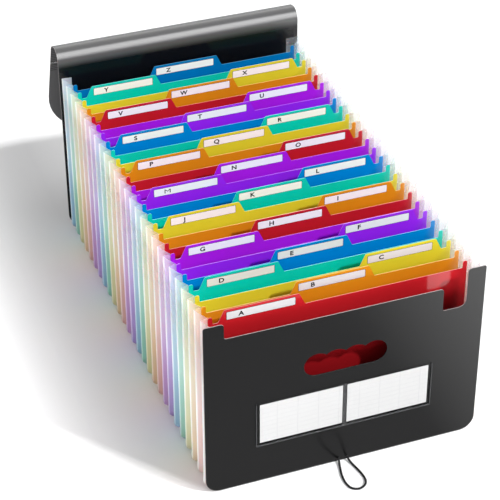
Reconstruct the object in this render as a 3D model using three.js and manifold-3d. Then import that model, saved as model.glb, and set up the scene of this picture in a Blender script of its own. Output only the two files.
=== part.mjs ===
import * as THREE from 'three';
import * as BufferGeometryUtils from 'three/addons/utils/BufferGeometryUtils.js';
import Module from 'manifold-3d';

// Expanding file folder, standing on its lower edges and drawn open.
// Millimetres. X runs across the folder, Y from the front cover to the back, Z up.
// The origin is the middle of the front cover's lower edge.

const wasm = await Module();
wasm.setup();

// Driving dimensions
const WIDTH = 330;
const DIVIDER_COUNT = 26;
const PITCH = 21.04;
const GAP = 0.3;

// Stiff black covers
const COVER_T = 1.0;
const COVER_CORNER_R = 18;
const EAR_TOP = 232.5;
const EAR_TIP_R = 2.5;
const LEFT_EAR = 23.8;
const RIGHT_EAR = 21.8;
const EAR_SHOULDER_R = 4;
const EDGE_ROOT_R = 2.5;
const FRONT_EDGE = 212.5;
const NOTCH_WIDTH = 28.4;
const NOTCH_BOTTOM = 182.5;
const NOTCH_INNER_R = 9;
const HANDLE_LENGTH = 98.8;
const HANDLE_BOTTOM = 134;
const HANDLE_HEIGHT = 29.5;
const HANDLE_FINGERS = 4;
const HANDLE_SCALLOP = 4;

// Back panel, rolled spine and flap
const PANEL_TOP = 252;
const ROLL_R = 14;
const ROLL_TURN = THREE.MathUtils.degToRad(105);
const SPINE_FLAT = 6;
const SHOULDER_R = 16;
const FLAP_LEAN = THREE.MathUtils.degToRad(20.5);
const SPINE_DROP = 27;
const FLAP_LENGTH = 155;
const FLAP_CORNER_R = 88;
const HINGE_TAPER = 2.4;
const HINGE_WEB = 0.06;
const CREASE_SPACING = 7.5;
const CREASE_COUNT = 2;
const CREASE_WIDTH = 1.4;
const CREASE_DEPTH = 0.4;

// Coloured dividers
const DIVIDER_T = 0.5;
const DIVIDER_EDGE = 219;
const DIVIDER_EAR_TOP = 228;
const DIVIDER_EAR_WIDTH = 5.2;
const DIVIDER_EAR_R = 2;
const DIVIDER_ROOT_R = 1.4;
const TAB_TOP = 234;
const TAB_WIDTH = 85.5;
const TAB_SLOPE = 7;
const TAB_R = 2.5;
const TAB_STEP = 90.5;
const TAB_PLACES = 3;

// Pleated film
const FILM_T = 0.5;
const PLEAT_DEPTH = 11.5;
const RIDGE_INSET = 0.5;
const FILM_VALLEY_TOP = 228.5;
const FILM_RIDGE_TOP = 234.5;
const FLOOR_GAP = 0.8;
const FILM_CORNER_R = 8;
const FLANGE = 4;
const CORNER_STEPS = 5;

// Card holder on the front cover
const CARD_WIDTH = 98.5;
const CARD_HEIGHT = 54.1;
const CARD_T = 0.3;
const CARD_PLAY = 0.4;
const HOLDER_BOTTOM = 52.4;
const HOLDER_LIP = 1.6;
const HOLDER_T = 1.6;
const HOLDER_FACE_T = 0.5;
const HOLDER_BORDER = 4.2;
const HOLDER_BAR = 4.6;
const HOLDER_CORNER_R = 1;

// Elastic cord with its two end bars
const CORD_D = 2.4;
const CORD_SIDES = 8;
const CORD_STEPS = 44;
const CORD_HOLE_D = 3.2;
const CORD_HOLE_HALF_SPACING = 5.2;
const CORD_HOLE_Z = 4.2;
const BARB_D = 2.2;
const BARB_LENGTH = 9;

// Button that the elastic hooks over
const BUTTON_D = 14;
const BUTTON_RIM = 1.4;
const BUTTON_DOME = 1.2;
const BUTTON_CHAMFER = 0.4;
const BUTTON_FROM_EDGE = 24;
const NECK_D = 6;
const NECK_LENGTH = 2.8;
const POST_D = 3.4;
const RIVET_HEAD_D = 8;
const RIVET_HEAD_T = 0.8;
const RIVET_CHAMFER = 0.3;
const RIVET_LENGTH = 2.6;

// Sizes worked out from the ones above
const HALF = WIDTH / 2;
const DEPTH = PITCH * (DIVIDER_COUNT + 1);
const PLEAT_ANGLE = Math.atan2(PITCH / 2, PLEAT_DEPTH);
const FOLD_REACH = FILM_T / 2 / Math.sin(PLEAT_ANGLE);
const VALLEY_X = HALF - RIDGE_INSET - FOLD_REACH - PLEAT_DEPTH;
const VALLEY_Z = FLOOR_GAP + FOLD_REACH + PLEAT_DEPTH;
const DIVIDER_HALF = VALLEY_X - FOLD_REACH - GAP;
const DIVIDER_BOTTOM = VALLEY_Z + FOLD_REACH + GAP;
const DIVIDER_CORNER_R = FILM_CORNER_R - FOLD_REACH - GAP;

const RAINBOW = [0xbe141e, 0xd77d19, 0xd2be2d, 0x0fbea5, 0x0078c8, 0x8219d7, 0xaa14dc];

const material = (color, roughness, extra = {}) =>
  new THREE.MeshStandardMaterial({ color, roughness, metalness: 0, ...extra });
const coverPlastic = material(0x0b0b0d, 0.35);
const filmPlastic = material(0xd8dce0, 0.3, { transparent: true, opacity: 0.6 });
const holderPlastic = material(0xaab0b4, 0.2, { transparent: true, opacity: 0.5 });
const cardPaper = material(0xf4f4f2, 0.8);
const cordRubber = material(0x101012, 0.7);
const buttonPlastic = material(0x0d0d0f, 0.4);
const barbMetal = material(0xb4b6ba, 0.35, { metalness: 1 });

const folder = new THREE.Group();

// Closed outline through corners [x, z, radius], with a true arc at each rounded corner
function roundedOutline(corners, path = new THREE.Shape()) {
  const points = corners.map(([x, z]) => new THREE.Vector2(x, z));
  corners.forEach(([, , radius], i) => {
    const corner = points[i];
    const before = points.at(i - 1).clone().sub(corner).normalize();
    const after = points[(i + 1) % points.length].clone().sub(corner).normalize();
    const halfAngle = Math.acos(THREE.MathUtils.clamp(before.dot(after), -1, 1)) / 2;
    const reach = radius / Math.tan(halfAngle);
    const start = corner.clone().addScaledVector(before, reach);
    if (i === 0) path.moveTo(start.x, start.y);
    else path.lineTo(start.x, start.y);
    if (radius === 0) return;
    const end = corner.clone().addScaledVector(after, reach);
    const centre = before.clone().add(after).setLength(radius / Math.sin(halfAngle)).add(corner);
    const turnsRight = before.cross(after) > 0;
    path.absarc(
      centre.x, centre.y, radius,
      Math.atan2(start.y - centre.y, start.x - centre.x),
      Math.atan2(end.y - centre.y, end.x - centre.x),
      turnsRight,
    );
  });
  path.closePath();
  return path;
}

// Upright sheet: an outline in X and Z with its thickness centred on y = 0
function sheetGeometry(shape, thickness, curveSegments) {
  const geometry = new THREE.ExtrudeGeometry(shape, { depth: thickness, bevelEnabled: false, curveSegments });
  return geometry.rotateX(Math.PI / 2).translate(0, thickness / 2, 0);
}

// Bar along X with a section in Y and Z, centred on x = 0
function barGeometry(shape, length, curveSegments) {
  const geometry = new THREE.ExtrudeGeometry(shape, { depth: length, bevelEnabled: false, curveSegments });
  return geometry.rotateY(Math.PI / 2).rotateX(Math.PI / 2).translate(-length / 2, 0, 0);
}

function toSolid(geometry) {
  const bare = geometry.clone();
  bare.deleteAttribute('normal');
  bare.deleteAttribute('uv');
  const merged = BufferGeometryUtils.mergeVertices(bare, 1e-4);
  return new wasm.Manifold(new wasm.Mesh({
    numProp: 3,
    vertProperties: new Float32Array(merged.attributes.position.array),
    triVerts: new Uint32Array(merged.index.array),
  }));
}

function fromSolid(solid) {
  const { vertProperties, triVerts } = solid.getMesh();
  const geometry = new THREE.BufferGeometry();
  geometry.setAttribute('position', new THREE.BufferAttribute(vertProperties, 3));
  geometry.setIndex(new THREE.BufferAttribute(triVerts, 1));
  geometry.computeVertexNormals();
  return geometry;
}

function addPiece(name, geometry, finish, parent = folder) {
  const mesh = new THREE.Mesh(geometry, finish);
  mesh.name = name;
  parent.add(mesh);
  return mesh;
}

// Grip hole with a scalloped upper edge, one scallop for each finger
function gripHole() {
  const endR = HANDLE_HEIGHT / 2;
  const top = HANDLE_BOTTOM + HANDLE_HEIGHT;
  const firstPeak = HANDLE_LENGTH / 2 - endR;
  const spacing = (2 * firstPeak) / (HANDLE_FINGERS - 1);
  const scallopR = ((spacing / 2) ** 2 + HANDLE_SCALLOP ** 2) / (2 * HANDLE_SCALLOP);
  const swing = Math.asin(spacing / 2 / scallopR);
  const up = Math.PI / 2;
  const hole = new THREE.Path();
  hole.moveTo(-firstPeak, HANDLE_BOTTOM);
  hole.lineTo(firstPeak, HANDLE_BOTTOM);
  hole.absarc(firstPeak, HANDLE_BOTTOM + endR, endR, -up, up, false);
  for (let finger = 0; finger < HANDLE_FINGERS; finger++) {
    const from = finger === 0 ? up : up - swing;
    const to = finger === HANDLE_FINGERS - 1 ? up : up + swing;
    hole.absarc(firstPeak - finger * spacing, top - scallopR, scallopR, from, to, false);
  }
  hole.absarc(-firstPeak, HANDLE_BOTTOM + endR, endR, up, 3 * up, false);
  return hole;
}

// Front cover: ears at both ends of the upper edge and a thumb notch beside the right one
function makeFrontCover() {
  const notchRight = HALF - RIGHT_EAR;
  const notchLeft = notchRight - NOTCH_WIDTH;
  const outline = roundedOutline([
    [-HALF, 0, COVER_CORNER_R],
    [HALF, 0, COVER_CORNER_R],
    [HALF, EAR_TOP, EAR_TIP_R],
    [notchRight, EAR_TOP, EAR_SHOULDER_R],
    [notchRight, NOTCH_BOTTOM, NOTCH_INNER_R],
    [notchLeft, NOTCH_BOTTOM, EDGE_ROOT_R],
    [notchLeft, FRONT_EDGE, EAR_SHOULDER_R],
    [-HALF + LEFT_EAR, FRONT_EDGE, EDGE_ROOT_R],
    [-HALF + LEFT_EAR, EAR_TOP, EAR_SHOULDER_R],
    [-HALF, EAR_TOP, EAR_TIP_R],
  ]);
  outline.holes.push(gripHole());
  for (const side of [-1, 1]) {
    const cordHole = new THREE.Path();
    cordHole.absarc(side * CORD_HOLE_HALF_SPACING, CORD_HOLE_Z, CORD_HOLE_D / 2, 0, 2 * Math.PI, true);
    outline.holes.push(cordHole);
  }
  addPiece('front_cover', sheetGeometry(outline, COVER_T, 5), coverPlastic);
}

// Section of the back cover in Y and Z: a straight panel rolled over into a spine that slopes down.
// The middle line of the sheet is followed by its heading, measured up from +Y.
function spineRoute() {
  const route = [];
  const at = new THREE.Vector2(DEPTH, 0);
  let heading = Math.PI / 2;
  const mark = () => route.push({ point: at.clone(), heading });
  const run = (length) => {
    at.x += length * Math.cos(heading);
    at.y += length * Math.sin(heading);
    mark();
  };
  const roll = (radius, turn, steps) => {
    const centre = new THREE.Vector2(Math.sin(heading), -Math.cos(heading)).multiplyScalar(radius).add(at);
    for (let step = 1; step <= steps; step++) {
      heading -= turn / steps;
      at.set(centre.x - radius * Math.sin(heading), centre.y + radius * Math.cos(heading));
      mark();
    }
  };
  mark();
  run(PANEL_TOP);
  roll(ROLL_R, ROLL_TURN, 12);
  run(SPINE_FLAT);
  roll(SHOULDER_R, Math.PI - FLAP_LEAN - ROLL_TURN, 7);
  run(SPINE_DROP - GAP / 2 - HINGE_TAPER);
  run(HINGE_TAPER);
  return route;
}

const spine = spineRoute();
const spineEnd = spine.at(-1);
const hingeLine = new THREE.Vector2(Math.cos(spineEnd.heading), Math.sin(spineEnd.heading))
  .multiplyScalar(GAP / 2).add(spineEnd.point);

function makeBackCover() {
  const side = (sign) => spine.map(({ point, heading }, i) => {
    const half = (i === spine.length - 1 ? HINGE_WEB : COVER_T) / 2;
    return new THREE.Vector2(-Math.sin(heading), Math.cos(heading)).multiplyScalar(sign * half).add(point);
  });
  const section = new THREE.Shape([...side(-1), ...side(1).reverse()]);
  const reach = hingeLine.x + COVER_T;
  const tall = PANEL_TOP + ROLL_R + COVER_T;
  const outline = roundedOutline([
    [-HALF, 0, COVER_CORNER_R],
    [HALF, 0, COVER_CORNER_R],
    [HALF, tall, 0],
    [-HALF, tall, 0],
  ]);
  const bent = toSolid(barGeometry(section, WIDTH + COVER_T, 1));
  const trim = toSolid(sheetGeometry(outline, 2 * reach, 4));
  addPiece('back_cover', fromSolid(bent.intersect(trim)), coverPlastic);
}

// Flap in its own group, hanging from the hinge line along -Z, with its thickness along Y.
// Scored creases near the hinge stand out on the face away from the panel.
const flapGroup = new THREE.Group();
flapGroup.position.set(0, hingeLine.x, hingeLine.y);
flapGroup.rotation.x = FLAP_LEAN;
folder.add(flapGroup);

function makeFlap() {
  const face = (side) => {
    const line = [[side * HINGE_WEB / 2, -GAP / 2], [side * COVER_T / 2, -GAP / 2 - HINGE_TAPER]];
    for (let crease = 1; crease <= CREASE_COUNT; crease++) {
      const middle = -crease * CREASE_SPACING;
      line.push([side * COVER_T / 2, middle + CREASE_WIDTH / 2]);
      line.push([side * COVER_T / 2 + CREASE_DEPTH, middle]);
      line.push([side * COVER_T / 2, middle - CREASE_WIDTH / 2]);
    }
    line.push([side * COVER_T / 2, -FLAP_LENGTH]);
    return line.map(([y, z]) => new THREE.Vector2(y, z));
  };
  const shape = new THREE.Shape([...face(-1), ...face(1).reverse()]);
  const outline = roundedOutline([
    [-HALF, -FLAP_LENGTH, FLAP_CORNER_R],
    [HALF, -FLAP_LENGTH, FLAP_CORNER_R],
    [HALF, COVER_T, 0],
    [-HALF, COVER_T, 0],
  ]);
  const postHole = new THREE.Path();
  postHole.absarc(0, BUTTON_FROM_EDGE - FLAP_LENGTH, POST_D / 2 + GAP, 0, 2 * Math.PI, true);
  outline.holes.push(postHole);
  const creased = toSolid(barGeometry(shape, WIDTH + COVER_T, 1));
  const trim = toSolid(sheetGeometry(outline, 2 * COVER_T, 6));
  addPiece('flap', fromSolid(creased.intersect(trim)), coverPlastic, flapGroup);
}

// Round closure button on the face that ends up outside when the flap is closed
function makeButton() {
  const faceY = -COVER_T / 2 - GAP;
  const button = new THREE.LatheGeometry([
    [POST_D / 2 + GAP, 0],
    [NECK_D / 2, 0],
    [NECK_D / 2, NECK_LENGTH],
    [BUTTON_D / 2 - BUTTON_CHAMFER, NECK_LENGTH],
    [BUTTON_D / 2, NECK_LENGTH + BUTTON_CHAMFER],
    [BUTTON_D / 2, NECK_LENGTH + BUTTON_RIM],
    [BUTTON_D / 4, NECK_LENGTH + BUTTON_RIM + BUTTON_DOME * 0.75],
    [0, NECK_LENGTH + BUTTON_RIM + BUTTON_DOME],
    [0, RIVET_LENGTH],
    [POST_D / 2 + GAP, RIVET_LENGTH],
    [POST_D / 2 + GAP, 0],
  ].map(([r, h]) => new THREE.Vector2(r, h)), 24);
  const buttonMesh = addPiece('flap_button', button, buttonPlastic, flapGroup);
  buttonMesh.rotation.x = Math.PI;
  buttonMesh.position.set(0, faceY, BUTTON_FROM_EDGE - FLAP_LENGTH);

  const headY = COVER_T / 2 + GAP;
  const tip = RIVET_LENGTH + COVER_T + GAP;
  const rivet = new THREE.LatheGeometry([
    [0, -tip],
    [POST_D / 2, -tip],
    [POST_D / 2, 0],
    [RIVET_HEAD_D / 2, 0],
    [RIVET_HEAD_D / 2 - RIVET_CHAMFER, RIVET_HEAD_T],
    [0, RIVET_HEAD_T],
  ].map(([r, h]) => new THREE.Vector2(r, h)), 20);
  const rivetMesh = addPiece('button_rivet', rivet, buttonPlastic, flapGroup);
  rivetMesh.position.set(0, headY, BUTTON_FROM_EDGE - FLAP_LENGTH);
}

// Divider sheets, lettered from the front, each with its tab in one of three places
function makeDividers() {
  for (let i = 0; i < DIVIDER_COUNT; i++) {
    const tab = ((i % TAB_PLACES) - (TAB_PLACES - 1) / 2) * TAB_STEP;
    const earInner = DIVIDER_HALF - DIVIDER_EAR_WIDTH;
    const foot = TAB_WIDTH / 2 + TAB_SLOPE;
    const outline = roundedOutline([
      [-DIVIDER_HALF, DIVIDER_BOTTOM, DIVIDER_CORNER_R],
      [DIVIDER_HALF, DIVIDER_BOTTOM, DIVIDER_CORNER_R],
      [DIVIDER_HALF, DIVIDER_EAR_TOP, DIVIDER_EAR_R],
      [earInner, DIVIDER_EAR_TOP, DIVIDER_EAR_R],
      [earInner, DIVIDER_EDGE, DIVIDER_ROOT_R],
      [tab + foot, DIVIDER_EDGE, DIVIDER_ROOT_R],
      [tab + TAB_WIDTH / 2, TAB_TOP, TAB_R],
      [tab - TAB_WIDTH / 2, TAB_TOP, TAB_R],
      [tab - foot, DIVIDER_EDGE, DIVIDER_ROOT_R],
      [-earInner, DIVIDER_EDGE, DIVIDER_ROOT_R],
      [-earInner, DIVIDER_EAR_TOP, DIVIDER_EAR_R],
      [-DIVIDER_HALF, DIVIDER_EAR_TOP, DIVIDER_EAR_R],
    ]);
    const letter = String.fromCharCode('A'.charCodeAt(0) + i);
    const plastic = material(RAINBOW[i % RAINBOW.length], 0.45);
    const sheet = addPiece(`divider_${letter}`, sheetGeometry(outline, DIVIDER_T, 2), plastic);
    sheet.position.y = PITCH * (i + 1);
  }
}

// Zigzag section of the pleated film: how far out it reaches from the valley line, and y.
// It starts and ends with a short flange on the inner face of a cover.
function pleatSection() {
  const first = COVER_T / 2 + GAP + FILM_T / 2;
  const line = [new THREE.Vector2(-FLANGE, first), new THREE.Vector2(0, first)];
  for (let pocket = 0; pocket <= DIVIDER_COUNT; pocket++) {
    line.push(new THREE.Vector2(PLEAT_DEPTH, (pocket + 0.5) * PITCH));
    if (pocket < DIVIDER_COUNT) line.push(new THREE.Vector2(0, (pocket + 1) * PITCH));
  }
  line.push(new THREE.Vector2(0, DEPTH - first), new THREE.Vector2(-FLANGE, DEPTH - first));

  const side = (sign) => line.map((point, i) => {
    const into = point.clone().sub(line[Math.max(i - 1, 0)]).normalize();
    const out = line[Math.min(i + 1, line.length - 1)].clone().sub(point).normalize();
    if (i === 0) into.copy(out);
    if (i === line.length - 1) out.copy(into);
    const mitre = new THREE.Vector2(into.y + out.y, -into.x - out.x).normalize();
    const stretch = 1 / Math.max(mitre.dot(new THREE.Vector2(into.y, -into.x)), 0.2);
    return mitre.multiplyScalar(sign * stretch * FILM_T / 2).add(point);
  });
  return [...side(1), ...side(-1).reverse()];
}

// Film swept along stations, each a point of the valley line in X and Z, the outward direction
// there, and at a free end how much the edge climbs for each millimetre it reaches out
function filmGeometry(section, stations) {
  const positions = stations.flatMap(({ x, z, outX, outZ, climb = 0 }) =>
    section.flatMap((p) => [x + outX * p.x, p.y, z + (outZ + climb) * p.x]));
  const count = section.length;
  const index = [];
  for (let s = 0; s < stations.length - 1; s++) {
    for (let i = 0; i < count; i++) {
      const j = (i + 1) % count;
      const [a, b, c, d] = [s * count + i, s * count + j, (s + 1) * count + j, (s + 1) * count + i];
      index.push(a, b, c, a, c, d);
    }
  }
  const last = (stations.length - 1) * count;
  for (const [a, b, c] of THREE.ShapeUtils.triangulateShape(section, [])) {
    index.push(c, b, a, last + a, last + b, last + c);
  }
  const geometry = new THREE.BufferGeometry();
  geometry.setAttribute('position', new THREE.Float32BufferAttribute(positions, 3));
  geometry.setIndex(index);
  geometry.computeVertexNormals();
  return geometry;
}

// Bellows in a U round the dividers: down the left side, under them and up the right side
function makeBellows() {
  const section = pleatSection();
  const bendX = VALLEY_X - FILM_CORNER_R;
  const bendZ = VALLEY_Z + FILM_CORNER_R;
  const climb = (FILM_RIDGE_TOP - FILM_VALLEY_TOP) / PLEAT_DEPTH;
  const left = (z) => ({ x: -VALLEY_X, z, outX: -1, outZ: 0 });
  const right = (z) => ({ x: VALLEY_X, z, outX: 1, outZ: 0 });
  const leftTop = { ...left(FILM_VALLEY_TOP), climb };
  const rightTop = { ...right(FILM_VALLEY_TOP), climb };
  const under = (x) => ({ x, z: VALLEY_Z, outX: 0, outZ: -1 });
  const bend = (side, from) => Array.from({ length: CORNER_STEPS + 1 }, (_, step) => {
    const angle = from + (step / CORNER_STEPS) * (Math.PI / 2);
    const [outX, outZ] = [Math.cos(angle), Math.sin(angle)];
    return { x: side * bendX + FILM_CORNER_R * outX, z: bendZ + FILM_CORNER_R * outZ, outX, outZ };
  });
  const stretches = {
    left_gusset: [leftTop, left(bendZ + GAP)],
    left_corner_gusset: bend(-1, Math.PI),
    bottom_gusset: [under(-bendX + GAP), under(bendX - GAP)],
    right_corner_gusset: bend(1, -Math.PI / 2),
    right_gusset: [right(bendZ + GAP), rightTop],
  };
  for (const [name, stations] of Object.entries(stretches)) {
    addPiece(name, filmGeometry(section, stations), filmPlastic);
  }
}

// Clear holder with two windows' pockets open at the top, and a card in each
function makeCardHolder() {
  const faceY = -COVER_T / 2 - GAP;
  const pocketWidth = CARD_WIDTH + 2 * CARD_PLAY;
  const pocketX = (HOLDER_BAR + pocketWidth) / 2;
  const pocketFloor = HOLDER_BOTTOM + HOLDER_BORDER;
  const pocketDepth = HOLDER_T - HOLDER_FACE_T;
  const cardFloor = pocketFloor + GAP;
  const top = cardFloor + CARD_HEIGHT + HOLDER_LIP;
  const pocketHeight = top - pocketFloor + HOLDER_LIP;
  const halfWidth = HOLDER_BAR / 2 + pocketWidth + HOLDER_BORDER;
  const body = sheetGeometry(roundedOutline([
    [-halfWidth, HOLDER_BOTTOM, HOLDER_CORNER_R],
    [halfWidth, HOLDER_BOTTOM, HOLDER_CORNER_R],
    [halfWidth, top, HOLDER_CORNER_R],
    [-halfWidth, top, HOLDER_CORNER_R],
  ]), HOLDER_T, 3).translate(0, faceY - HOLDER_T / 2, 0);
  let holder = toSolid(body);
  for (const side of [-1, 1]) {
    const pocket = new THREE.BoxGeometry(pocketWidth, 2 * pocketDepth, pocketHeight);
    pocket.translate(side * pocketX, faceY, pocketFloor + pocketHeight / 2);
    holder = holder.subtract(toSolid(pocket));

    const card = new THREE.BoxGeometry(CARD_WIDTH, CARD_T, CARD_HEIGHT);
    const cardMesh = addPiece(side < 0 ? 'card_left' : 'card_right', card, cardPaper);
    const cardY = faceY - pocketDepth + GAP + CARD_T / 2;
    cardMesh.position.set(side * pocketX, cardY, cardFloor + CARD_HEIGHT / 2);
  }
  addPiece('card_holder', fromSolid(holder), holderPlastic);
}

// Elastic cord: out through one hole, round in a loop on the floor and back through the other
function makeElastic() {
  const lay = CORD_D / 2 + 0.05;
  const inside = COVER_T / 2;
  const route = [
    [-CORD_HOLE_HALF_SPACING, inside, CORD_HOLE_Z],
    [-CORD_HOLE_HALF_SPACING, -COVER_T, CORD_HOLE_Z],
    [-6.1, -5, 2.6],
    [-8.2, -13, lay],
    [-11.6, -28, lay],
    [-12, -41, lay],
    [-9, -49.6, lay],
    [-1.6, -53.2, lay],
    [6, -50.4, lay],
    [10.4, -44, lay],
    [11, -34, lay],
    [9.4, -23, lay],
    [7, -12, lay],
    [5.6, -5, 2.6],
    [CORD_HOLE_HALF_SPACING, -COVER_T, CORD_HOLE_Z],
    [CORD_HOLE_HALF_SPACING, inside, CORD_HOLE_Z],
  ].map(([x, y, z]) => new THREE.Vector3(x, y, z));
  const section = new THREE.Shape();
  section.absarc(0, 0, CORD_D / 2, 0, 2 * Math.PI, false);
  const curve = new THREE.CatmullRomCurve3(route, false, 'centripetal');
  const cord = new THREE.ExtrudeGeometry(section, {
    steps: CORD_STEPS, extrudePath: curve, curveSegments: CORD_SIDES / 2, bevelEnabled: false,
  });
  addPiece('elastic_loop', cord, cordRubber);

  for (const side of [-1, 1]) {
    const barb = new THREE.CylinderGeometry(BARB_D / 2, BARB_D / 2, BARB_LENGTH, 12);
    const mesh = addPiece(side < 0 ? 'elastic_barb_left' : 'elastic_barb_right', barb, barbMetal);
    mesh.rotation.z = Math.PI / 2;
    mesh.position.set(side * CORD_HOLE_HALF_SPACING, inside + GAP + BARB_D / 2, CORD_HOLE_Z);
  }
}

makeFrontCover();
makeBackCover();
makeFlap();
makeButton();
makeDividers();
makeBellows();
makeCardHolder();
makeElastic();

export default folder;
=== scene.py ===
"""Open expanding file folder: black covers, lettered rainbow dividers and a pleated film bellows.

All sizes are metres. X runs across the folder, Y from the front cover to the back, Z up.
"""
import math
import random

import bmesh
import bpy
from mathutils import Matrix, Vector


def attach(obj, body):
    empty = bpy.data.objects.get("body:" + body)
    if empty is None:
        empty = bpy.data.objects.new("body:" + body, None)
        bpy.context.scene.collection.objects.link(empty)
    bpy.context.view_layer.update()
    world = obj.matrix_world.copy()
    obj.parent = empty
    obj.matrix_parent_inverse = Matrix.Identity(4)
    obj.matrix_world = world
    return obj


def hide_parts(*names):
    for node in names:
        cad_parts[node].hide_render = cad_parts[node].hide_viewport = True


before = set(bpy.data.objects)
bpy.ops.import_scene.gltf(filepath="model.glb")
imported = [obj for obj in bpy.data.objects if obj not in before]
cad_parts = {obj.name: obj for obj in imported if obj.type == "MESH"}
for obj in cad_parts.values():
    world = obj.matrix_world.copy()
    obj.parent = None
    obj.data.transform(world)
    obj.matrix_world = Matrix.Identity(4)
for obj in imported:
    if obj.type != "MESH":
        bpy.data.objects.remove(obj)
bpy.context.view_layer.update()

MM = 0.001

# Sizes that the part's nodes share
PITCH = 21.04 * MM
DIVIDERS = 26
DEPTH = PITCH * (DIVIDERS + 1)
COVER_T = 1.0 * MM
DIVIDER_T = 0.5 * MM
LETTERS = [chr(ord("A") + i) for i in range(DIVIDERS)]

# Covers: how far their edges are eased, the carrying slot, the flap's hinge, and the roll at the back
EDGE_EASE = 0.16 * MM
HANDLE_HALF = 60 * MM
HANDLE_FOOT = 90 * MM
HANDLE_TOP = 180 * MM
HINGE_Z = 228.83 * MM
HINGE_STRIP = 6 * MM
FLAP_LEAN = math.radians(20.5)
CREASE_STEP = 3.2 * MM
CREASED = 15 * MM
ROLL_Z = 252 * MM
ROLL_INSIDE = Vector((0, 590 * MM, 246 * MM))

# Dividers: from where to where the pocket's shade ends going up, and the roll's begins going back
POCKET_SHADE_Z = (165 * MM, 200 * MM)
ROLL_SHADE_Y = (536 * MM, 544 * MM)

# Tabs and their paper strips
TAB_STEP = 90.5 * MM
STRIP_WIDTH = 78.3 * MM
STRIP_HEIGHT = 9.6 * MM
STRIP_T = 0.12 * MM
STRIP_OFFSET = -1.0 * MM
STRIP_BOTTOM = 220.8 * MM
STRIP_CORNER = 0.9 * MM
RIM = 0.45 * MM
RIM_T = 0.05 * MM
RIM_SINK = 0.01 * MM

# Letters. An M that swells like the rest closes up, so it is thinner and wider.
LETTER_HEIGHT = 5.7 * MM
CAPITAL_SHARE = 0.72
LETTER_FROM_LEFT = 16.5 * MM
LETTER_RAISE = 0.2 * MM
LETTER_T = 0.04 * MM
LETTER_SWELL = 0.24 * MM
LETTER_STRETCH = 1.12
M_SWELL = -0.04 * MM
M_STRETCH = 1.5

# Bellows film. Its pleats sway and ripple a little, and reach further out at the lower corners.
FILM_T = 0.34 * MM
FILM_GAP = 0.3 * MM
FILM_FLANGE = 4 * MM
VALLEY_X = 152.64 * MM
VALLEY_Z = 12.67 * MM
PLEAT_DEPTH = 11.5 * MM
FILM_CORNER_R = 8 * MM
FILM_VALLEY_TOP = 228.5 * MM
FILM_RIDGE_TOP = 234.5 * MM
FILM_SWAY = 0.35 * MM
SWAY_LENGTH = 230 * MM
FILM_RIPPLE = 0.015
CORNER_POINT = 0.35

# Card holder: half its width, its foot, and the welded line round it
HOLDER_HALF = 105.8 * MM
HOLDER_BOTTOM = 52.4 * MM
HOLDER_WELD = 0.6 * MM
HOLDER_BAR = 2.3 * MM

# The elastic cord's route, as the solid's
CORD_D = 2.4 * MM
CORD_LAY = CORD_D / 2 + 0.05 * MM
CORD_HOLE_X = 5.2 * MM
CORD_HOLE_Z = 4.2 * MM

# Light: 1 is white. The gleams are what glossy faces see to the sides, above, in front and low in front.
SURROUND = 0.7
SIDE_GLEAM = 0.6
OVERHEAD_GLEAM = 4.0
FRONT_GLEAM = 17.0
FLOOR_GLEAM = (0.62, 3.2)
FLOOR_GLEAM_X = (120 * MM, 340 * MM)

# Floor: from where to where it turns greyer, a painted shade, and its glow, a painted light, begins, going
# left. The corner's glow begins along a slanting line.
FLOOR_GREY_X = (-120 * MM, -170 * MM)
FLOOR_GLOW_X = (-180 * MM, -310 * MM)
CORNER_GLOW = (-190 * MM, -218 * MM)
CORNER_SLANT = 1.25

random.seed(7)

scene = bpy.context.scene


def make_camera():
    """The photograph's own viewpoint: its place, its heading, tilt and roll, and its lens."""
    data = bpy.data.cameras.new("photo_camera")
    data.sensor_width = 36
    data.lens = 129.75
    camera = bpy.data.objects.new("photo_camera", data)
    scene.collection.objects.link(camera)
    heading = math.radians(20.08)
    tilt = math.radians(35.14)
    roll = math.radians(-0.244)
    level = math.cos(tilt)
    forward = Vector((math.sin(heading) * level, math.cos(heading) * level, -math.sin(tilt)))
    right = forward.cross(Vector((0, 0, 1))).normalized()
    up = right.cross(forward)
    right_rolled = right * math.cos(roll) + up * math.sin(roll)
    up_rolled = up * math.cos(roll) - right * math.sin(roll)
    turn = Matrix((right_rolled, up_rolled, -forward)).transposed().to_4x4()
    place = (-0.63054, -1.42, 1.38473)
    camera.matrix_world = Matrix.Translation(place) @ turn
    scene.camera = camera


def make_cord():
    """Elastic cord out of the front cover, round in a loop on the floor and back in."""
    inside = COVER_T / 2
    route = [
        (-CORD_HOLE_X, inside, CORD_HOLE_Z),
        (-CORD_HOLE_X, -COVER_T, CORD_HOLE_Z),
        (-6.1 * MM, -5 * MM, 2.6 * MM),
        (-8.2 * MM, -13 * MM, CORD_LAY),
        (-11.6 * MM, -28 * MM, CORD_LAY),
        (-12 * MM, -41 * MM, CORD_LAY),
        (-9 * MM, -49.6 * MM, CORD_LAY),
        (-1.6 * MM, -53.2 * MM, CORD_LAY),
        (6 * MM, -50.4 * MM, CORD_LAY),
        (10.4 * MM, -44 * MM, CORD_LAY),
        (11 * MM, -34 * MM, CORD_LAY),
        (9.4 * MM, -23 * MM, CORD_LAY),
        (7 * MM, -12 * MM, CORD_LAY),
        (5.6 * MM, -5 * MM, 2.6 * MM),
        (CORD_HOLE_X, -COVER_T, CORD_HOLE_Z),
        (CORD_HOLE_X, inside, CORD_HOLE_Z),
    ]
    path = smooth_path([Vector(p) for p in route], 7)
    mesh = tube_mesh("elastic_cord", path, CORD_D / 2, 16)
    cord = add_piece("elastic_cord", mesh, [cord_material()], "folder")
    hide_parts("elastic_loop")


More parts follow.
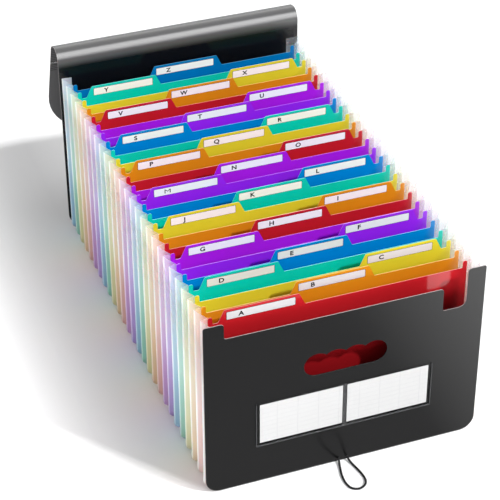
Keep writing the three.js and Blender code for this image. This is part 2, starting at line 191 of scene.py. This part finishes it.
def smooth_path(points, steps):
    """Centripetal Catmull-Rom curve through the points, the same curve as the solid's."""
    full = [points[0] * 2 - points[1], *points, points[-1] * 2 - points[-2]]
    path = [points[0]]
    for p0, p1, p2, p3 in zip(full, full[1:], full[2:], full[3:]):
        t1 = (p1 - p0).length ** 0.5
        t2 = t1 + (p2 - p1).length ** 0.5
        t3 = t2 + (p3 - p2).length ** 0.5
        for step in range(1, steps + 1):
            t = t1 + (t2 - t1) * step / steps
            a1 = p0 * ((t1 - t) / t1) + p1 * (t / t1)
            a2 = p1 * ((t2 - t) / (t2 - t1)) + p2 * ((t - t1) / (t2 - t1))
            a3 = p2 * ((t3 - t) / (t3 - t2)) + p3 * ((t - t2) / (t3 - t2))
            b1 = a1 * ((t2 - t) / t2) + a2 * (t / t2)
            b2 = a2 * ((t3 - t) / (t3 - t1)) + a3 * ((t - t1) / (t3 - t1))
            path.append(b1 * ((t2 - t) / (t2 - t1)) + b2 * ((t - t1) / (t2 - t1)))
    return path


def tube_mesh(name, path, radius, sides):
    """Round closed tube along a path, whose section turns with the path."""
    bm = bmesh.new()
    ring = bmesh.ops.create_circle(bm, cap_ends=False, segments=sides, radius=radius)["verts"]
    aim = (path[1] - path[0]).normalized()
    bmesh.ops.rotate(bm, verts=ring, matrix=Vector((0, 0, 1)).rotation_difference(aim).to_matrix())
    bmesh.ops.translate(bm, verts=ring, vec=path[0])
    rings = [ring]
    for here, there, after in zip(path, path[1:], path[2:] + [path[-1] * 2 - path[-2]]):
        edges = {e for v in rings[-1] for e in v.link_edges if all(w in rings[-1] for w in e.verts)}
        grown = bmesh.ops.extrude_edge_only(bm, edges=list(edges))["geom"]
        new_ring = [g for g in grown if isinstance(g, bmesh.types.BMVert)]
        bmesh.ops.translate(bm, verts=new_ring, vec=there - here)
        new_aim = (after - here).normalized()
        bend = aim.rotation_difference(new_aim).to_matrix()
        bmesh.ops.rotate(bm, cent=there, verts=new_ring, matrix=bend)
        aim = new_aim
        rings.append(new_ring)
    bmesh.ops.holes_fill(bm, edges=[e for e in bm.edges if e.is_boundary])
    bmesh.ops.recalc_face_normals(bm, faces=bm.faces)
    mesh = as_mesh(name, bm)
    mesh.shade_smooth()
    return mesh


def as_mesh(name, bm):
    """Turns a bmesh into a mesh and frees it."""
    mesh = bpy.data.meshes.new(name)
    bm.to_mesh(mesh)
    bm.free()
    return mesh


def add_piece(name, mesh, materials, body):
    """A visible piece that rides on a body of the part."""
    piece = bpy.data.objects.new(name, mesh)
    scene.collection.objects.link(piece)
    for material in materials:
        mesh.materials.append(material)
    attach(piece, body)
    return piece


def dress(material, *names):
    """Gives nodes of the part their material."""
    for name in names:
        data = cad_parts[name].data
        data.materials.clear()
        data.materials.append(material)


def linear(red, green, blue):
    """Colour as it is named on a screen, 0 to 255, made linear for the shaders."""
    def one(value):
        value /= 255
        return value / 12.92 if value <= 0.04045 else ((value + 0.055) / 1.055) ** 2.4
    return (one(red), one(green), one(blue), 1)


def feed(tree, socket, value):
    """Gives an input a plain value, or joins it to another node's output."""
    if isinstance(value, bpy.types.NodeSocket):
        tree.links.new(value, socket)
    else:
        socket.default_value = value


def add_node(tree, kind, inputs=None, **traits):
    """New shader node with traits such as its operation, and with its inputs fed."""
    node = tree.nodes.new(f"ShaderNode{kind}")
    for trait, value in traits.items():
        setattr(node, trait, value)
    for socket, value in (inputs or {}).items():
        feed(tree, node.inputs[socket], value)
    return node


def combine(tree, operation, *values):
    """One sum on numbers and outputs. An operation on three values is given all three."""
    return add_node(tree, "Math", dict(enumerate(values)), operation=operation).outputs[0]


def fade(tree, source, start, end, low=0.0, high=1.0, curve="LINEAR"):
    """Runs from low to high as the source runs from start to end."""
    inputs = {"Value": source, "From Min": start, "From Max": end, "To Min": low, "To Max": high}
    return add_node(tree, "MapRange", inputs, interpolation_type=curve).outputs["Result"]


def soft_fade(tree, source, start, end, low, high):
    """The same, eased at both ends."""
    return fade(tree, source, start, end, low, high, "SMOOTHSTEP")


def tint(tree, factor, first, second, blend="MIX"):
    """Runs from the first colour to the second as the factor runs from 0 to 1."""
    inputs = {"Factor": factor, "A": first, "B": second}
    return add_node(tree, "Mix", inputs, data_type="RGBA", blend_type=blend).outputs["Result"]


def object_place(tree):
    """The place on the object."""
    return add_node(tree, "TexCoord").outputs["Object"]


def split(tree, vector):
    """A vector's X, Y and Z."""
    return add_node(tree, "SeparateXYZ", {0: vector}).outputs


def fine_grain_group():
    """Fine moulded grain of extruded plastic sheet: a height and a roughness that vary a little."""
    tree = bpy.data.node_groups.new("fine_grain", "ShaderNodeTree")
    for name, value in (("Scale", 900.0), ("Rough Low", 0.3), ("Rough High", 0.4), ("Strength", 0.05),
                        ("Distance", 0.0002)):
        socket = tree.interface.new_socket(name, in_out="INPUT", socket_type="NodeSocketFloat")
        socket.default_value = value
    for name, kind in (("Roughness", "NodeSocketFloat"), ("Normal", "NodeSocketVector"),
                       ("Cloud", "NodeSocketFloat")):
        tree.interface.new_socket(name, in_out="OUTPUT", socket_type=kind)
    given = tree.nodes.new("NodeGroupInput").outputs
    out = tree.nodes.new("NodeGroupOutput").inputs
    place = object_place(tree)
    grain = add_node(tree, "TexNoise", {"Vector": place, "Scale": given["Scale"], "Detail": 2})
    cloud = add_node(tree, "TexNoise", {"Vector": place, "Scale": 9, "Detail": 3}).outputs["Fac"]
    bump = add_node(tree, "Bump", {"Height": grain.outputs["Fac"], "Strength": given["Strength"],
                                   "Distance": given["Distance"]})
    feed(tree, out["Roughness"], fade(tree, cloud, 0.0, 1.0, given["Rough Low"], given["Rough High"]))
    feed(tree, out["Normal"], bump.outputs["Normal"])
    feed(tree, out["Cloud"], cloud)
    return tree


GRAIN = fine_grain_group()
SATIN = (1500, 0.2, 0.25, 0.1, 0.1 * MM)


def add_grain(tree, scale, low, high, strength, depth):
    """Places the fine grain in a material: how fine it is, its roughness from low to high, and its bump."""
    inputs = {"Scale": scale, "Rough Low": low, "Rough High": high, "Strength": strength, "Distance": depth}
    grain = add_node(tree, "Group", inputs, node_tree=GRAIN)
    shader = tree.nodes["Principled BSDF"].inputs
    feed(tree, shader["Roughness"], grain.outputs["Roughness"])
    feed(tree, shader["Normal"], grain.outputs["Normal"])
    return grain


def new_material(name, settings, grain=None):
    """A material, its node tree and its shader's inputs, with these settings and this grain."""
    material = bpy.data.materials.new(name)
    material.use_nodes = True
    tree = material.node_tree
    shader = tree.nodes["Principled BSDF"].inputs
    for socket, value in settings.items():
        feed(tree, shader[socket], value)
    if grain is not None:
        add_grain(tree, *grain)
    return material, tree, shader


def plain_material(name, colour, grain, settings=None):
    """A material of one colour, with further settings for its shader."""
    return new_material(name, {"Base Color": linear(*colour), **(settings or {})}, grain)[0]


def cord_material():
    """Braided elastic sheath, black."""
    settings = {"Base Color": linear(4, 4, 5), "Roughness": 0.75, "Specular IOR Level": 0.15}
    material, tree, shader = new_material("braided_elastic", settings)
    braid = add_node(tree, "TexVoronoi", {"Vector": object_place(tree), "Scale": 2600})
    height = braid.outputs["Distance"]
    bump = add_node(tree, "Bump", {"Height": height, "Strength": 0.6, "Distance": 0.2 * MM})
    feed(tree, shader["Normal"], bump.outputs["Normal"])
    return material


def inner_face_material():
    """Inner side of the flap, painted paler grey in place of reflected light, with crease lines pressed
    across it just below the hinge that are painted dark as shade in their grooves.
    """
    material, tree, shader = new_material("black_sheet_inner_face", {}, (1500, 0.5, 0.6, 0.2, 0.1 * MM))
    height = split(tree, object_place(tree))["Z"]
    steps = combine(tree, "MULTIPLY_ADD", height, 1 / CREASE_STEP, 0.5)
    between = fade(tree, combine(tree, "PINGPONG", steps, 0.5), 0.1, 0.2)
    below = combine(tree, "LESS_THAN", height, HINGE_Z - CREASED)
    plain = combine(tree, "MAXIMUM", between, below)
    # Painted: dark crease lines as shade in the grooves, and the paler grey between in place of reflected
    # light.
    feed(tree, shader["Base Color"], tint(tree, plain, linear(30, 30, 31), linear(92, 92, 93)))
    return material


def rolled_material():
    """Outer side of the back cover, black, with a painted grey highlight where the sheet bends over."""
    material, tree, shader = new_material("black_sheet_roll_highlight", {"IOR": 1.42}, SATIN)
    height = split(tree, object_place(tree))["Z"]
    # Painted highlight: the colour turns grey over the bend, in place of the light the roll reflects.
    bend = add_node(tree, "ValToRGB", {"Fac": fade(tree, height, ROLL_Z - 13 * MM, ROLL_Z + 12 * MM)})
    bend.color_ramp.interpolation = "EASE"
    tones = bend.color_ramp.elements
    tones[0].position = 0.1
    tones[0].color = linear(9, 9, 10)
    tones[1].position = 0.57
    tones[1].color = linear(84, 84, 85)
    tones.new(0.9).color = linear(40, 40, 41)
    feed(tree, shader["Base Color"], bend.outputs["Color"])
    return material


def finished_sheet(node, name, materials, body, kind):
    """A sheet node's own shape with its edges eased. Kind gives each face its material's number."""
    bm = bmesh.new()
    bm.from_mesh(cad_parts[node].data)
    bmesh.ops.remove_doubles(bm, verts=bm.verts, dist=2e-6)
    bmesh.ops.dissolve_limit(bm, angle_limit=0.002, verts=bm.verts, edges=bm.edges)
    sharp = [e for e in bm.edges if len(e.link_faces) == 2 and e.calc_face_angle() > math.radians(50)]
    bmesh.ops.bevel(bm, geom=sharp, offset=EDGE_EASE, affect="EDGES", segments=2, profile=0.5,
                    material=-1, clamp_overlap=True)
    for face in bm.faces:
        face.material_index = kind(face)
    mesh = as_mesh(name, bm)
    mesh.shade_smooth()
    mesh.set_sharp_from_angle(angle=math.radians(60))
    piece = add_piece(name, mesh, materials, body)
    shading = piece.modifiers.new("flat faces stay flat", "WEIGHTED_NORMAL")
    shading.keep_sharp = True
    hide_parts(node)


def on_handle(place):
    """In the carrying slot of the front cover, whose edge gets no painted highlight and stays as dark as its
    faces.
    """
    return abs(place.x) < HANDLE_HALF and HANDLE_FOOT < place.z < HANDLE_TOP


def make_covers():
    """Front cover, back cover and flap, each in up to four materials that go by the way a face looks."""
    satin, lit_edge, inner_face, rolled = range(4)
    materials = (
        plain_material("black_sheet", (9, 9, 10), SATIN, {"IOR": 1.42}),
        # Cut edges in light grey: a painted highlight along the sheet's edges.
        plain_material("black_sheet_edge_highlight", (150, 142, 142), (3000, 0.45, 0.6, 0.3, 0.1 * MM)),
        inner_face_material(),
        rolled_material(),
    )
    outward = Vector((0, math.cos(FLAP_LEAN), math.sin(FLAP_LEAN)))

    def front_kind(face):
        at_edge = abs(face.normal.y) < 0.8 and not on_handle(face.calc_center_median())
        return lit_edge if at_edge else satin

    def back_kind(face):
        place = face.calc_center_median()
        at_foot = face.normal.z < -0.97 and place.z < 50 * MM
        if abs(face.normal.x) > 0.05 or at_foot:
            return lit_edge
        in_roll = place.z > HINGE_Z and face.normal.dot(ROLL_INSIDE - place) > 0
        return inner_face if in_roll else rolled

    def flap_kind(face):
        toward = face.normal.dot(outward)
        if toward < -0.7:
            return inner_face
        at_hinge = abs(face.normal.x) < 0.5 and face.calc_center_median().z > HINGE_Z - HINGE_STRIP
        return satin if toward > 0.7 or at_hinge else lit_edge

    finished_sheet("front_cover", "front_panel", materials, "folder", front_kind)
    finished_sheet("back_cover", "rolled_back_panel", materials, "folder", back_kind)
    finished_sheet("flap", "flap_panel", materials, "flap", flap_kind)


RAINBOW = {
    "red": (200, 31, 39),
    "orange": (227, 148, 27),
    "yellow": (226, 219, 53),
    "teal": (0, 207, 198),
    "blue": (0, 137, 219),
    "violet": (164, 39, 239),
    "magenta": (178, 33, 224),
}


def divider_material(name, colour):
    """Glossy coloured sheet, with a painted highlight that makes it paler along its cut edges, and painted
    shade that makes it deeper low in the pocket and under the roll.
    """
    material, tree, shader = new_material(f"{name}_sheet", {"IOR": 1.5})
    grain = add_grain(tree, 1200, 0.1, 0.16, 0.04, 0.1 * MM)
    normal = add_node(tree, "NewGeometry").outputs["Normal"]
    facing = combine(tree, "ABSOLUTE", split(tree, normal)["Y"])
    face = tint(tree, grain.outputs["Cloud"], linear(*colour), linear(*(c * 0.9 for c in colour)))
    # Painted highlight: faces that don't face along Y, the cut edges, are paler.
    pale = linear(*(c + (255 - c) * 0.45 for c in colour))
    sheet = tint(tree, fade(tree, facing, 0.8, 0.4), face, pale)
    place = split(tree, object_place(tree))
    # Painted shade: darker low in the pocket and under the back cover's roll.
    pocket = fade(tree, place["Z"], *POCKET_SHADE_Z, 0.55, 1.0)
    under_roll = fade(tree, place["Y"], *ROLL_SHADE_Y, 1.0, 0.74)
    light = combine(tree, "MULTIPLY", pocket, under_roll)
    feed(tree, shader["Base Color"], tint(tree, 1, sheet, light, "MULTIPLY"))
    return material


def finish_dividers():
    """The seven colours in turn, from the front divider to the back one."""
    sheets = [divider_material(name, colour) for name, colour in RAINBOW.items()]
    for i, letter in enumerate(LETTERS):
        dress(sheets[i % len(sheets)], f"divider_{letter}")


def strip_materials():
    """Index paper, painted a little greyer on the front tabs as painted shade, its printed letters and the
    rim round it.
    """
    grain = (4000, 0.4, 0.55, 0.15, 0.05 * MM)
    paper, tree, shader = new_material("index_paper", {"Specular IOR Level": 0.12}, grain)
    # Painted shade: the paper is greyer on the front tabs and turns white further back.
    front_tab_shade = fade(tree, split(tree, object_place(tree))["Y"], PITCH, PITCH * 8)
    feed(tree, shader["Base Color"], tint(tree, front_tab_shade, linear(208, 206, 208), linear(243, 243, 243)))
    ink = plain_material("index_ink", (8, 8, 10), (6000, 0.5, 0.6, 0.1, 0.05 * MM),
                         {"Specular IOR Level": 0.05})
    rim = plain_material("index_rim", (20, 18, 22), (2000, 0.3, 0.4, 0.1, 0.05 * MM),
                         {"Specular IOR Level": 0.1, "Alpha": 0.6})
    return paper, ink, rim


def rounded_card(width, thickness, height, corner, middle):
    """Upright flat card with rounded corners, facing -Y."""
    bm = bmesh.new()
    bmesh.ops.create_cube(bm, size=1)
    bmesh.ops.scale(bm, vec=(width, thickness, height), verts=bm.verts)
    uprights = [e for e in bm.edges if abs((e.verts[0].co - e.verts[1].co).normalized().y) > 0.9]
    bmesh.ops.bevel(bm, geom=uprights, offset=corner, affect="EDGES", segments=4, profile=0.5,
                    material=-1)
    bmesh.ops.translate(bm, verts=bm.verts, vec=middle)
    return bm


def letter_mesh(letter, foot):
    """Printed letter that stands up and faces -Y, with the middle of its foot at that place."""
    swell, stretch = (M_SWELL, M_STRETCH) if letter == "M" else (LETTER_SWELL, LETTER_STRETCH)
    text = bpy.data.curves.new(f"letter_{letter}", "FONT")
    text.body = letter
    text.size = LETTER_HEIGHT / CAPITAL_SHARE
    text.align_x = "CENTER"
    text.extrude = LETTER_T / 2
    text.offset = swell
    text.resolution_u = 4
    carrier = bpy.data.objects.new(f"letter_{letter}", text)
    scene.collection.objects.link(carrier)
    bpy.context.view_layer.update()
    shape = bpy.data.meshes.new_from_object(carrier)
    stand = Matrix.Rotation(math.pi / 2, 4, "X") @ Matrix.Diagonal((stretch, 1, 1, 1))
    shape.transform(Matrix.Translation(foot) @ stand)
    bpy.data.objects.remove(carrier)
    return shape


def make_index_strips():
    """A paper strip on the front of every tab, with its letter near the left end."""
    materials = strip_materials()
    paper, ink, rim = range(3)
    for i, letter in enumerate(LETTERS):
        centre = (i % 3 - 1) * TAB_STEP + STRIP_OFFSET
        face = PITCH * (i + 1) - DIVIDER_T / 2
        middle = Vector((centre, face - STRIP_T / 2 - RIM_T, STRIP_BOTTOM + STRIP_HEIGHT / 2))
        bm = rounded_card(STRIP_WIDTH + 2 * RIM, RIM_T, STRIP_HEIGHT + 2 * RIM, STRIP_CORNER + RIM,
                          middle + Vector((0, STRIP_T / 2 + RIM_T / 2 - RIM_SINK, 0)))
        for polygon in bm.faces:
            polygon.material_index = rim
        card = rounded_card(STRIP_WIDTH, STRIP_T, STRIP_HEIGHT, STRIP_CORNER, middle)
        foot = (
            centre - STRIP_WIDTH / 2 + LETTER_FROM_LEFT,
            middle.y - STRIP_T / 2 - LETTER_T / 2,
            middle.z - LETTER_HEIGHT / 2 + LETTER_RAISE,
        )
        for mesh, material in ((as_mesh("strip_paper", card), paper), (letter_mesh(letter, foot), ink)):
            for polygon in mesh.polygons:
                polygon.material_index = material
            bm.from_mesh(mesh)
        name = f"index_strip_{letter}"
        add_piece(name, as_mesh(name, bm), materials, "folder")


PASTELS = ((232, 204, 200), (234, 214, 192), (228, 224, 196), (188, 220, 210),
           (188, 212, 226), (206, 190, 226), (214, 188, 220))
FRONT_FILM = (240, 222, 220)
BACK_FILM = (226, 228, 232)


def film_colours(tree, place):
    """The pale colour of the nearest divider, and plainer film at the front and the back."""
    zones = add_node(tree, "ValToRGB", {"Fac": combine(tree, "DIVIDE", place["Y"], DEPTH)})
    zones.color_ramp.interpolation = "CONSTANT"
    bands = zones.color_ramp.elements
    bands[0].color = linear(*FRONT_FILM)
    bands[1].position = (DIVIDERS + 0.5) / (DIVIDERS + 1)
    bands[1].color = linear(*BACK_FILM)
    for i in range(DIVIDERS):
        bands.new((i + 0.5) / (DIVIDERS + 1)).color = linear(*PASTELS[i % len(PASTELS)])
    return zones.outputs["Color"]


def film_material():
    """Milky see-through film, tinted at each divider with that divider's pale colour.

    The tint is painted deepest, as painted shade, low down, in the valleys and further back from the front.
    A painted highlight leaves it almost white at the ridges, and it is almost white at the top. The film is
    clearer toward its top, and there more so on the right.
    """
    settings = {"Subsurface Weight": 0.25, "Subsurface Scale": 2 * MM, "IOR": 1.4}
    material, tree, shader = new_material("pleated_film", settings, (900, 0.3, 0.4, 0.06, 0.1 * MM))
    place = split(tree, object_place(tree))
    out = combine(tree, "ABSOLUTE", place["X"])
    ridge_x = VALLEY_X + PLEAT_DEPTH
    # Painted shade deepens the tint in the valleys, and a painted highlight whitens it at the ridges.
    valley_shade = soft_fade(tree, out, VALLEY_X, ridge_x - 2.6 * MM, 1.0, 0.2)
    ridge = soft_fade(tree, out, ridge_x - 2.0 * MM, ridge_x - 0.6 * MM, 0.0, -1.0)
    # Painted shade deepens the tint low down, less so at the front pleats.
    low = soft_fade(tree, place["Z"], 20 * MM, 200 * MM, 1.25, 0.0)
    shade_further_back = soft_fade(tree, place["Y"], 0.0, 200 * MM, 0.45, 1.0)
    depth = combine(tree, "ADD", combine(tree, "MULTIPLY", low, shade_further_back), 0.45)
    strength = combine(tree, "ADD", depth, combine(tree, "ADD", valley_shade, ridge))
    colour = add_node(tree, "Gamma", {"Color": film_colours(tree, place),
                                      "Gamma": combine(tree, "MAXIMUM", strength, 0.08)})
    feed(tree, shader["Base Color"], colour.outputs["Color"])
    body = soft_fade(tree, place["Z"], 100 * MM, 200 * MM, 0.93, 0.4)
    rim = soft_fade(tree, place["Z"], 195 * MM, 232 * MM, 0.0, 1.0)
    thin = soft_fade(tree, place["X"], -100 * MM, 100 * MM, 0.0, 0.6)
    lost = combine(tree, "MULTIPLY", combine(tree, "MULTIPLY", rim, thin), body)
    feed(tree, shader["Alpha"], combine(tree, "SUBTRACT", body, lost))
    return material


def pleat_section():
    """Zigzag of the film in plan: how far out it reaches from the valley line, and y."""
    first = COVER_T / 2 + FILM_GAP + FILM_T / 2
    leg = ((0.0, 0.0), (0.12, 0.14), (0.36, 0.4), (0.62, 0.66), (0.84, 0.86), (0.95, 0.955), (1.0, 0.985))
    points = [(-FILM_FLANGE, first)]
    for pocket in range(DIVIDERS + 1):
        low = first if pocket == 0 else PITCH * pocket
        high = DEPTH - first if pocket == DIVIDERS else PITCH * (pocket + 1)
        ridge = PITCH * (pocket + 0.5)
        for along, out in leg:
            points.append((PLEAT_DEPTH * out, low + (ridge - low) * along))
        for along, out in reversed(leg[:-1]):
            if pocket == DIVIDERS or along > 0:
                points.append((PLEAT_DEPTH * out, high + (ridge - high) * along))
    points.append((-FILM_FLANGE, DEPTH - first))
    return points


def film_stations():
    """Places along the film's U, each with x and z of its valley, its way out and its share of height."""
    bend_x = VALLEY_X - FILM_CORNER_R
    bend_z = VALLEY_Z + FILM_CORNER_R
    down_steps, bend_steps, under_steps = 12, 7, 10
    stations = []
    for step in range(down_steps + 1):
        t = step / down_steps
        stations.append((-VALLEY_X, FILM_VALLEY_TOP + (bend_z - FILM_VALLEY_TOP) * t, math.pi, 1 - t))
    for step in range(1, bend_steps + 1):
        angle = math.pi + step / bend_steps * math.pi / 2
        stations.append((-bend_x + FILM_CORNER_R * math.cos(angle),
                         bend_z + FILM_CORNER_R * math.sin(angle), angle, 0))
    for step in range(1, under_steps + 1):
        stations.append((-bend_x + 2 * bend_x * step / under_steps, VALLEY_Z, 1.5 * math.pi, 0))
    for step in range(1, bend_steps + 1):
        angle = 1.5 * math.pi + step / bend_steps * math.pi / 2
        stations.append((bend_x + FILM_CORNER_R * math.cos(angle),
                         bend_z + FILM_CORNER_R * math.sin(angle), angle, 0))
    for step in range(1, down_steps + 1):
        t = step / down_steps
        stations.append((VALLEY_X, bend_z + (FILM_VALLEY_TOP - bend_z) * t, 2 * math.pi, t))
    return stations


def make_film():
    """One film in a U: down the left side, round under the dividers and up the right side."""
    section = pleat_section()
    climb = (FILM_RIDGE_TOP - FILM_VALLEY_TOP) / PLEAT_DEPTH
    bm = bmesh.new()
    rows = []
    phases = [random.uniform(0, 2 * math.pi) for _ in range(DIVIDERS + 1)]
    for x, z, angle, height in film_stations():
        row = []
        for out, y in section:
            reach = max(out, 0)
            phase = phases[min(int(y / PITCH), DIVIDERS)]
            sway = FILM_SWAY * reach / PLEAT_DEPTH * math.sin(7 * z / SWAY_LENGTH + phase)
            ripple = 1 - FILM_RIPPLE * math.sin(5 * z / SWAY_LENGTH + 2 * phase)
            far = out * (1 + CORNER_POINT * math.sin(2 * angle) ** 2) if out > 0 else out
            row.append(bm.verts.new((
                x + far * math.cos(angle) * ripple,
                y + sway,
                z + far * math.sin(angle) + climb * reach * height,
            )))
        rows.append(row)
    for upper, lower in zip(rows, rows[1:]):
        for a, b, c, d in zip(upper, upper[1:], lower[1:], lower):
            bm.faces.new((a, b, c, d))
    bmesh.ops.recalc_face_normals(bm, faces=bm.faces)
    bmesh.ops.solidify(bm, geom=bm.faces, thickness=FILM_T)
    mesh = as_mesh("pleated_film", bm)
    mesh.shade_smooth()
    mesh.set_sharp_from_angle(angle=math.radians(35))
    film = add_piece("pleated_film", mesh, [film_material()], "folder")
    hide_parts("left_gusset", "left_corner_gusset", "bottom_gusset",
                "right_corner_gusset", "right_gusset")


def ruled_lines(tree, place, spacing, width, shift):
    """1 on thin lines, one every spacing, and 0 between them."""
    part = combine(tree, "FRACT", combine(tree, "MULTIPLY_ADD", place, 1 / spacing, shift))
    return combine(tree, "LESS_THAN", part, width / spacing)


def card_material():
    """White form card with faint ruled lines."""
    grain = (3000, 0.5, 0.65, 0.15, 0.05 * MM)
    material, tree, shader = new_material("form_card", {"Specular IOR Level": 0.15}, grain)
    place = split(tree, object_place(tree))
    rows = ruled_lines(tree, place["Z"], 6.2 * MM, 0.4 * MM, 0.2)
    columns = ruled_lines(tree, place["X"], 24.6 * MM, 0.6 * MM, 0.3)
    lines = combine(tree, "MAXIMUM", rows, columns)
    feed(tree, shader["Base Color"], tint(tree, lines, linear(238, 238, 238), linear(223, 223, 225)))
    return material


def holder_material():
    """Clear pocket film that is seen by its pale welded outer line, which is partly the seam and partly a
    painted highlight, its grey middle bar and its dark rim.
    """
    material, tree, shader = new_material("holder_film", {}, (800, 0.08, 0.14, 0.05, 0.1 * MM))
    place = split(tree, object_place(tree))
    side = combine(tree, "ABSOLUTE", place["X"])
    past_side = combine(tree, "GREATER_THAN", side, HOLDER_HALF - HOLDER_WELD)
    past_foot = combine(tree, "LESS_THAN", place["Z"], HOLDER_BOTTOM + HOLDER_WELD)
    seam_highlight = combine(tree, "MAXIMUM", past_side, past_foot)
    on_bar = combine(tree, "LESS_THAN", side, HOLDER_BAR)
    film = tint(tree, on_bar, linear(14, 14, 15), linear(150, 150, 152))
    # The outer line's grey is partly the welded seam and partly a painted highlight along it.
    feed(tree, shader["Base Color"], tint(tree, seam_highlight, film, linear(78, 79, 81)))
    feed(tree, shader["Alpha"], fade(tree, seam_highlight, 0.0, 1.0, 0.1, 0.9))
    return material


def finish_small_parts():
    """Cards and their holder, the flap's button and rivet, and the loop's steel end bars."""
    dress(card_material(), "card_left", "card_right")
    dress(holder_material(), "card_holder")
    plastic = plain_material("button_plastic", (26, 26, 28), (1800, 0.25, 0.35, 0.1, 0.1 * MM))
    dress(plastic, "flap_button", "button_rivet")
    steel = plain_material("end_bar_steel", (190, 192, 196), (2500, 0.25, 0.4, 0.1, 0.1 * MM),
                           {"Metallic": 1})
    dress(steel, "elastic_barb_left", "elastic_barb_right")


def studio_square(name, half, middle, material):
    """A level square of the studio. It is no piece of the folder."""
    bm = bmesh.new()
    bmesh.ops.create_grid(bm, x_segments=1, y_segments=1, size=half)
    bmesh.ops.translate(bm, verts=bm.verts, vec=middle)
    square = bpy.data.objects.new(name, as_mesh(name, bm))
    scene.collection.objects.link(square)
    square.data.materials.append(material)
    return square


def make_floor():
    """White floor that keeps the folder's shadow, which fades out to the left.

    It is painted a little greyer there, a painted shade, and glows instead, a painted light that lifts the
    shadow. Glossy faces don't see the glow.
    """
    settings = {"Roughness": 0.9, "Specular IOR Level": 0.1, "Emission Color": (1, 1, 1, 1)}
    material, tree, shader = new_material("studio_white", settings)
    place = split(tree, object_place(tree))
    # Painted shade: the floor turns greyer left of the folder.
    greyer = fade(tree, place["X"], *FLOOR_GREY_X)
    feed(tree, shader["Base Color"], tint(tree, greyer, (0.95, 0.95, 0.955, 1), (0.8, 0.8, 0.805, 1)))
    # Painted light: the floor glows further left and at the front corner, lifting the shadow.
    left = fade(tree, place["X"], *FLOOR_GLOW_X)
    aslant = combine(tree, "MULTIPLY_ADD", place["X"], CORNER_SLANT, place["Y"])
    corner = fade(tree, aslant, *CORNER_GLOW, 0.0, 0.5)
    glow = combine(tree, "MULTIPLY_ADD", combine(tree, "MULTIPLY", left, left), 0.55, corner)
    glossy = add_node(tree, "LightPath").outputs["Is Glossy Ray"]
    hidden = combine(tree, "MULTIPLY", glow, glossy)
    feed(tree, shader["Emission Strength"], combine(tree, "SUBTRACT", glow, hidden))
    studio_square("studio_floor", 6, (0, 0, 0), material)


def make_surround():
    """White to the camera and through film, plain light on the folder, and gleams in glossy faces."""
    world = bpy.data.worlds.new("studio")
    scene.world = world
    world.use_nodes = True
    tree = world.node_tree
    rays = add_node(tree, "LightPath").outputs
    way = split(tree, add_node(tree, "TexCoord").outputs["Generated"])
    above = fade(tree, way["Y"], -0.24, -0.42, OVERHEAD_GLEAM, FRONT_GLEAM)
    raised = fade(tree, way["Z"], 0.0, 0.5, SIDE_GLEAM, above)
    sideways = combine(tree, "ABSOLUTE", way["X"])
    gleam = fade(tree, sideways, 0.42, 0.7, raised, SIDE_GLEAM)
    on_folder = fade(tree, rays["Is Glossy Ray"], 0.0, 1.0, SURROUND, gleam)
    seen = combine(tree, "MAXIMUM", rays["Is Camera Ray"], rays["Is Transmission Ray"])
    back = tree.nodes["Background"].inputs
    back["Color"].default_value = (1, 1, 1, 1)
    feed(tree, back["Strength"], fade(tree, seen, 0.0, 1.0, on_folder, 1.0))


def make_key_light():
    """One soft sun, from the front right and above."""
    data = bpy.data.lights.new("key", "SUN")
    data.energy = 3.1
    data.angle = math.radians(3.5)
    key = bpy.data.objects.new("key", data)
    scene.collection.objects.link(key)
    key.rotation_euler = Vector((21.8, -20.5, 26)).to_track_quat("Z", "Y").to_euler()


def make_reflector():
    """White card on the floor before the front cover, brighter to the right. Only reflections see it."""
    settings = {"Base Color": (0, 0, 0, 1), "Specular IOR Level": 0, "Emission Color": (1, 1, 1, 1)}
    material, tree, shader = new_material("reflector_white", settings)
    side = split(tree, object_place(tree))["X"]
    feed(tree, shader["Emission Strength"], fade(tree, side, *FLOOR_GLEAM_X, *FLOOR_GLEAM))
    card = studio_square("reflector", 0.75, (0.3, -0.751, 0.001), material)
    card.visible_camera = card.visible_diffuse = card.visible_shadow = False
    card.visible_transmission = False


scene.view_settings.view_transform = "Standard"
make_camera()
make_cord()
make_covers()
finish_dividers()
make_index_strips()
make_film()
finish_small_parts()
make_floor()
make_surround()
make_key_light()
make_reflector()
